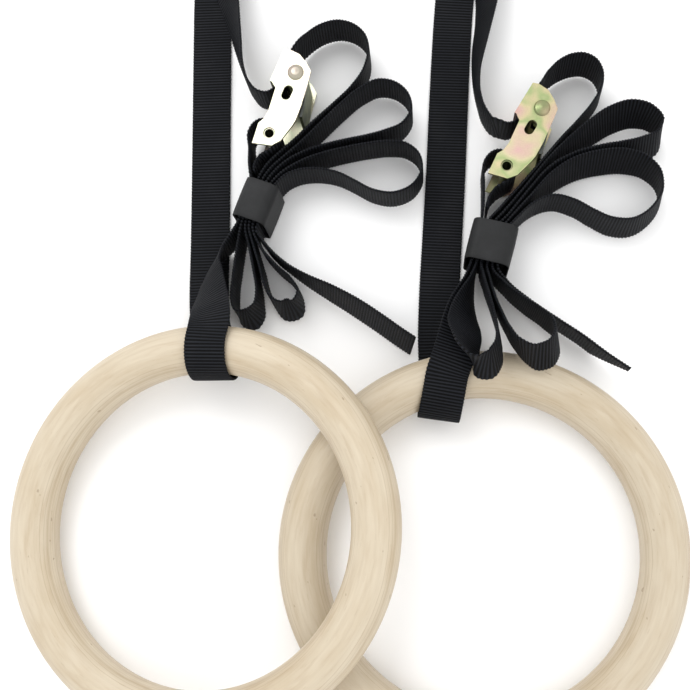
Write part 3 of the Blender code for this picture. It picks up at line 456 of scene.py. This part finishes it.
class Nodes:
    """A short way to write a node tree: calls make nodes and link them."""

    def __init__(self, name, roughness, metallic=0.0):
        self.mat = bpy.data.materials.new(name)
        self.mat.use_nodes = True
        self.tree = self.mat.node_tree
        self.shader = self.tree.nodes["Principled BSDF"]
        self.shader.inputs["Roughness"].default_value = roughness
        self.shader.inputs["Metallic"].default_value = metallic

    def node(self, kind, inputs=None, **settings):
        made = self.tree.nodes.new(kind)
        for key, value in settings.items():
            setattr(made, key, value)
        for key, value in (inputs or {}).items():
            self.plug(made.inputs[key], value)
        return made

    def plug(self, socket, value):
        if isinstance(value, bpy.types.NodeSocket):
            self.tree.links.new(value, socket)
        else:
            socket.default_value = value

    def math(self, operation, a, b=0.0, c=0.0):
        return self.node("ShaderNodeMath", {0: a, 1: b, 2: c}, operation=operation).outputs[0]

    def noise(self, vector, scale, detail=3.0, roughness=0.5, w=None):
        inputs = {"Vector": vector, "Scale": scale, "Detail": detail, "Roughness": roughness}
        if w is not None:
            inputs["W"] = w
        dimensions = "3D" if w is None else "4D"
        return self.node("ShaderNodeTexNoise", inputs, noise_dimensions=dimensions).outputs["Fac"]

    def stops(self, value, *stops):
        ramp = self.node("ShaderNodeValToRGB", {"Fac": value})
        elements = ramp.color_ramp.elements
        while len(elements) < len(stops):
            elements.new(0.5)
        for element, (at, colour) in zip(elements, stops):
            element.position = at
            element.color = (*colour, 1)
        return ramp.outputs["Color"]

    def mix(self, factor, a, b, blend="MIX"):
        made = self.node("ShaderNodeMix", None, data_type="RGBA", blend_type=blend)
        for key, value in (("Factor", factor), ("A", a), ("B", b)):
            socket = next(s for s in made.inputs if s.name == key and (s.type == "RGBA" or key == "Factor"))
            self.plug(socket, (*value, 1) if isinstance(value, tuple) else value)
        return next(s for s in made.outputs if s.type == "RGBA")

    def scaled(self, vector, scale):
        return self.node("ShaderNodeMapping", {"Vector": vector, "Scale": scale}).outputs[0]

    def attribute(self, name, output="Vector"):
        return self.node("ShaderNodeAttribute", None, attribute_name=name).outputs[output]

    def place(self):
        return self.node("ShaderNodeTexCoord").outputs["Object"]

    def finish(self, colour=None, roughness=None, height=None, distance=0.0002, strength=0.5):
        links = self.tree.links
        if colour is not None:
            links.new(colour, self.shader.inputs["Base Color"])
        if roughness is not None:
            links.new(roughness, self.shader.inputs["Roughness"])
        if height is not None:
            inputs = {"Height": height, "Strength": strength, "Distance": distance}
            links.new(self.node("ShaderNodeBump", inputs).outputs[0], self.shader.inputs["Normal"])
        return self.mat


def webbing_material():
    """Black ribbed polyester: slightly blue ribs whose crests carry painted highlight, grooves darkened to
    near black as painted shade, fuzz and pale rubbed spots.
    """
    m = Nodes("webbing_black", 0.55)
    weave = m.attribute("weave")
    split = m.node("ShaderNodeSeparateXYZ", {0: weave})
    across, along = split.outputs[0], split.outputs[1]
    phase = m.math("MULTIPLY", along, 2 * math.pi / RIB_PITCH)
    crest = m.math("MULTIPLY_ADD", m.math("COSINE", phase), 0.5, 0.5)
    warp = m.math("SINE", m.math("MULTIPLY", across, 2 * math.pi / WARP_PITCH))
    warp = m.math("MULTIPLY_ADD", warp, 0.5, 0.5)
    cloud = m.noise(m.place(), 42.0, 4.0)
    fibre = m.noise(m.scaled(weave, (900.0, 2600.0, 1.0)), 1.0, 2.0)
    # Rib colour along the strap: the near-black grooves are painted shade and the brighter crests are
    # painted highlight.
    rib = m.stops(crest, (0.0, (0.0006, 0.0006, 0.0007)), (0.34, (0.0012, 0.0013, 0.0015)),
                  (0.62, (0.0100, 0.0110, 0.0140)), (1.0, (0.0150, 0.0165, 0.0205)))
    tint = m.stops(cloud, (0.32, (0.72, 0.74, 0.80)), (0.52, (1.0, 1.0, 1.0)),
                   (0.72, (1.45, 1.36, 1.28)))
    colour = m.mix(0.85, rib, tint, "MULTIPLY")
    fuzz = m.math("MULTIPLY", m.math("GREATER_THAN", fibre, 0.66), 0.30)
    colour = m.mix(fuzz, colour, (0.034, 0.036, 0.040))
    rough = m.math("MULTIPLY_ADD", fibre, 0.22, 0.48)
    height = m.math("ADD", m.math("MULTIPLY", warp, 0.6), m.math("MULTIPLY", fibre, 0.8))
    m.shader.inputs["Sheen Weight"].default_value = 0.01
    m.shader.inputs["Sheen Roughness"].default_value = 0.4
    m.shader.inputs["Specular IOR Level"].default_value = 0.09
    return m.finish(colour, rough, height, 0.00012, 0.55)


def thread_material():
    m = Nodes("thread_black", 0.5)
    twist = m.noise(m.place(), 3500.0, 2.0)
    colour = m.stops(twist, (0.35, (0.008, 0.008, 0.009)), (0.7, (0.028, 0.028, 0.032)))
    return m.finish(colour, None, twist, 0.0001, 0.4)


def birch_material(name, lightness):
    """Pale birch plies: grain that runs round the ring, fine ply lines, pores and a few brown flecks."""
    m = Nodes(name, 0.46)
    grain, turn = m.attribute("grain"), m.attribute("turn", "Fac")
    split = m.node("ShaderNodeSeparateXYZ", {0: grain})
    side, height, cosine = split.outputs

    def around(across, along, detail):
        """Noise stretched along the grain, the same where the turn closes."""
        place = m.node("ShaderNodeCombineXYZ", {
            0: m.math("MULTIPLY", side, across), 1: m.math("MULTIPLY", height, across),
            2: m.math("MULTIPLY", cosine, along)}).outputs[0]
        return m.noise(place, 1.0, detail, 0.55, m.math("MULTIPLY", turn, along))

    broad, streak, fine = around(75.0, 2.2, 3.0), around(420.0, 5.0, 3.0), around(1500.0, 16.0, 2.0)
    wander = m.math("MULTIPLY_ADD", broad, 1.4 * MM, height)
    layer = m.math("DIVIDE", wander, 1.7 * MM)
    within = m.math("FRACT", layer)
    shade = m.node("ShaderNodeTexWhiteNoise", {"W": m.math("FLOOR", layer)}, noise_dimensions="1D")
    shade = shade.outputs["Value"]
    line = m.math("LESS_THAN", m.math("ABSOLUTE", m.math("SUBTRACT", within, 0.5)), 0.07)
    steep = m.math("GREATER_THAN", m.math("ABSOLUTE", side), 0.62 * TUBE_RADIUS)
    line = m.math("MULTIPLY", line, m.math("MULTIPLY_ADD", steep, 0.8, 0.2))
    pale = [c * lightness for c in (0.565, 0.488, 0.37)]
    warm = [c * lightness for c in (0.50, 0.415, 0.30)]
    between = [p * 0.7 + w * 0.3 for p, w in zip(pale, warm)]
    colour = m.stops(streak, (0.30, warm), (0.47, between), (0.62, pale), (0.80, [p * 1.05 for p in pale]))
    ply = m.stops(shade, (0.0, (0.90, 0.875, 0.84)), (0.5, (0.985, 0.98, 0.97)), (1.0, (1.03, 1.03, 1.03)))
    colour = m.mix(0.8, colour, ply, "MULTIPLY")
    cloud = m.stops(broad, (0.34, (0.90, 0.86, 0.80)), (0.55, (1.0, 1.0, 1.0)))
    colour = m.mix(0.8, colour, cloud, "MULTIPLY")
    colour = m.mix(m.math("MULTIPLY", line, 0.30), colour, (0.24, 0.16, 0.09))
    pores = m.math("GREATER_THAN", fine, 0.68)
    colour = m.mix(m.math("MULTIPLY", pores, 0.18), colour, (0.26, 0.18, 0.10))
    fleck = m.math("GREATER_THAN", around(340.0, 16.0, 1.0), 0.75)
    colour = m.mix(m.math("MULTIPLY", fleck, 0.40), colour, (0.16, 0.09, 0.045))
    rough = m.math("MULTIPLY_ADD", streak, 0.22, 0.36)
    bump = m.math("ADD", m.math("MULTIPLY", fine, 0.7), m.math("MULTIPLY", streak, 0.6))
    return m.finish(colour, rough, bump, 0.00010, 0.35)


def zinc_material(name, bleach, tone=1.0):
    """Yellow passivated zinc: soft bands of green, gold and pink over brushed, slightly pitted metal, mixed
    towards pale yellow-white as painted glare.
    """
    m = Nodes(name, 0.3, 1.0)
    place = m.place()
    drift = m.noise(place, 46.0, 2.0, 0.45)
    hue = m.stops(drift, (0.26, (0.54, 0.27, 0.28)), (0.38, (0.55, 0.38, 0.30)), (0.47, (0.54, 0.46, 0.26)),
                  (0.55, (0.30, 0.38, 0.15)), (0.64, (0.56, 0.50, 0.30)), (0.78, (0.60, 0.34, 0.35)))
    # Painted glare: mixing towards pale yellow-white lightens the metal to stand in for bright reflected
    # light.
    colour = m.mix(bleach, hue, (0.66, 0.66, 0.56))
    grit = m.noise(place, 2600.0, 3.0)
    scratch = m.noise(m.scaled(place, (900.0, 60.0, 900.0)), 1.0, 3.0)
    dust = m.stops(grit, (0.30, (0.80 * tone,) * 3), (0.55, (tone,) * 3))
    colour = m.mix(0.8, colour, dust, "MULTIPLY")
    rough = m.math("MULTIPLY_ADD", scratch, 0.26, 0.20)
    return m.finish(colour, rough, m.math("ADD", grit, scratch), 0.00005, 0.3)


def lever_material():
    """Stamped steel lever: grey rolled faces, darkened further as painted shade, and brighter zinc-yellow
    worked edges.
    """
    m = Nodes("lever_steel", 0.42, 1.0)
    place = m.place()
    normal = m.node("ShaderNodeNewGeometry").outputs["True Normal"]
    facing = m.node("ShaderNodeSeparateXYZ", {0: normal}).outputs[2]
    # Faces pointing straight up or down take the dark face colour, part grey steel and part painted shade;
    # the other faces keep the brighter zinc-yellow edge colour.
    flat = m.math("GREATER_THAN", m.math("ABSOLUTE", facing), 0.9)
    grit, cloud = m.noise(place, 1900.0, 3.0), m.noise(place, 120.0, 3.0)
    edge = m.stops(cloud, (0.35, (0.07, 0.085, 0.035)), (0.6, (0.17, 0.19, 0.085)))
    grey_and_shaded_face = m.stops(cloud, (0.3, (0.035, 0.037, 0.035)), (0.7, (0.075, 0.08, 0.075)))
    colour = m.mix(flat, edge, grey_and_shaded_face)
    rough = m.math("MULTIPLY_ADD", grit, 0.25, 0.30)
    return m.finish(colour, rough, grit, 0.00005, 0.35)


def rubber_material():
    """Matte moulded rubber, with faint bloom and a fine leathery surface."""
    m = Nodes("keeper_rubber", 0.62)
    place = m.place()
    bloom, skin, pits = m.noise(place, 55.0, 4.0), m.noise(place, 1300.0, 3.0), m.noise(place, 4200.0, 1.0)
    colour = m.stops(bloom, (0.30, (0.008, 0.0085, 0.009)), (0.55, (0.013, 0.0135, 0.0145)),
                     (0.75, (0.022, 0.023, 0.024)))
    rough = m.math("MULTIPLY_ADD", skin, 0.22, 0.50)
    m.shader.inputs["Specular IOR Level"].default_value = 0.28
    return m.finish(colour, rough, m.math("ADD", skin, m.math("MULTIPLY", pits, 0.4)), 0.00012, 0.35)


def floor_material():
    m = Nodes("studio_paper", 0.9)
    tone = m.noise(m.place(), 9.0, 3.0)
    return m.finish(m.stops(tone, (0.3, (0.96, 0.96, 0.96)), (0.7, (0.975, 0.975, 0.975))))


# The pieces ----------------------------------------------------------------------------------------

MATS = {
    "web": webbing_material(), "thread": thread_material(),
    "rubber": rubber_material(), "lever": lever_material(),
}


def soften(node, width):
    """Rounds a CAD node's sharp edges, as stamping and tumbling leave them."""
    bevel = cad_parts[node].modifiers.new("Edges", "BEVEL")
    bevel.width = width
    bevel.segments = 2
    bevel.limit_method = "ANGLE"
    bevel.angle_limit = math.radians(32)


def repaint(node, mat):
    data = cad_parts[node].data
    data.materials.clear()
    data.materials.append(mat)


def build_set(side, spec):
    body = side + "_set"
    mesh, length, samples = webbing(side + "_strap", spec)
    strap = add_piece(side + "_strap", mesh, body, MATS["web"],
                      (side + "_strap_ring_run", side + "_strap_free_run", side + "_hank"))
    rows = stitches(side + "_stitches", samples)
    threads = add_piece(side + "_stitches", rows, body, MATS["thread"])
    threads.parent = strap

    wood = birch_material(side + "_birch", spec["lightness"])
    add_piece(side + "_birch_ring", wooden_ring(side + "_birch_ring", spec), side + "_grip", wood,
              (side + "_ring",))

    keeper = (KEEPER_INSIDE[0] + spec["keeper_extra"], KEEPER_INSIDE[1])
    at = spec["keeper"] + CENTRE
    sleeve = rubber_band(side + "_keeper", keeper, KEEPER_LENGTH, at, spec["keeper_angle"])
    add_piece(side + "_keeper", sleeve, body, MATS["rubber"], (side + "_keeper_band",))
    middle = Vector((0, HANK_LENGTH / 2, HANK_BASE + HANK_LAYERS * LAYER_PITCH / 2))
    tie = rubber_band(side + "_tie", TIE_INSIDE, TIE_LENGTH, middle + spec["hank"] + CENTRE, 0)
    add_piece(side + "_tie", tie, body, MATS["rubber"], (side + "_hank_tie",))

    zinc = zinc_material(side + "_zinc", spec["bleach"])
    rivet = zinc_material(side + "_rivet", spec["bleach"], 0.62)
    for part, mat, width in (("buckle_frame", zinc, 0.28 * MM), ("cam_pin", rivet, 0.1 * MM),
                             ("cross_bar", rivet, 0.15 * MM)):
        repaint(side + "_" + part, mat)
        soften(side + "_" + part, width)
    repaint(side + "_cam_lever", MATS["lever"])
    soften(side + "_cam_lever", 0.35 * MM)
    repaint(side + "_cam_spring", MATS["lever"])


# The left buckle's metal is mixed much further towards pale as painted glare than the right one's.
SETS["left"].update(lightness=1.0, bleach=0.62)
SETS["right"].update(lightness=0.95, bleach=0.10)
for side_name, side_spec in SETS.items():
    build_set(side_name, side_spec)

# Floor, lights and camera --------------------------------------------------------------------------

FLOOR_DROP = 0.35 * MM
FLOOR_HALF = 6.0
SKY_STRENGTH = 1.22
LENS, SENSOR, SHIFT = 49.57, 36.0, (-0.0507, 0.0899)

floor_mesh = bmesh.new()
bmesh.ops.create_grid(floor_mesh, x_segments=1, y_segments=1, size=FLOOR_HALF)
floor = bpy.data.objects.new("floor", mesh_from(floor_mesh, "floor"))
bpy.context.scene.collection.objects.link(floor)
floor.location.z = -FLOOR_DROP
floor.data.materials.append(floor_material())

world = bpy.data.worlds.new("studio")
bpy.context.scene.world = world
world.use_nodes = True
world.node_tree.nodes["Background"].inputs["Color"].default_value = (1.0, 1.0, 1.0, 1)
world.node_tree.nodes["Background"].inputs["Strength"].default_value = SKY_STRENGTH


def soft_light(name, place, size, power, target=(0, -0.1, 0)):
    data = bpy.data.lights.new(name, "AREA")
    data.shape = "RECTANGLE"
    data.size, data.size_y = size
    data.energy = power
    obj = bpy.data.objects.new(name, data)
    bpy.context.scene.collection.objects.link(obj)
    obj.location = place
    obj.rotation_euler = (Vector(target) - Vector(place)).to_track_quat("-Z", "Y").to_euler()


soft_light("key", (-0.55, 0.75, 1.5), (0.9, 0.9), 9.0)
soft_light("fill", (1.2, -0.9, 1.2), (1.2, 1.2), 3.0)

camera_data = bpy.data.cameras.new("camera")
camera_data.sensor_width = SENSOR
camera_data.lens = LENS
camera_data.shift_x, camera_data.shift_y = SHIFT
camera_data.clip_start = 0.01
camera = bpy.data.objects.new("camera", camera_data)
bpy.context.scene.collection.objects.link(camera)
camera.matrix_world = Matrix((
    (0.99862, 0.0, 0.05256, 0.05026),
    (0.00728, 0.99037, -0.13827, -0.21971),
    (-0.05205, 0.13846, 0.989, 0.572),
    (0, 0, 0, 1),
))
bpy.context.scene.camera = camera
bpy.context.scene.view_settings.view_transform = "Standard"
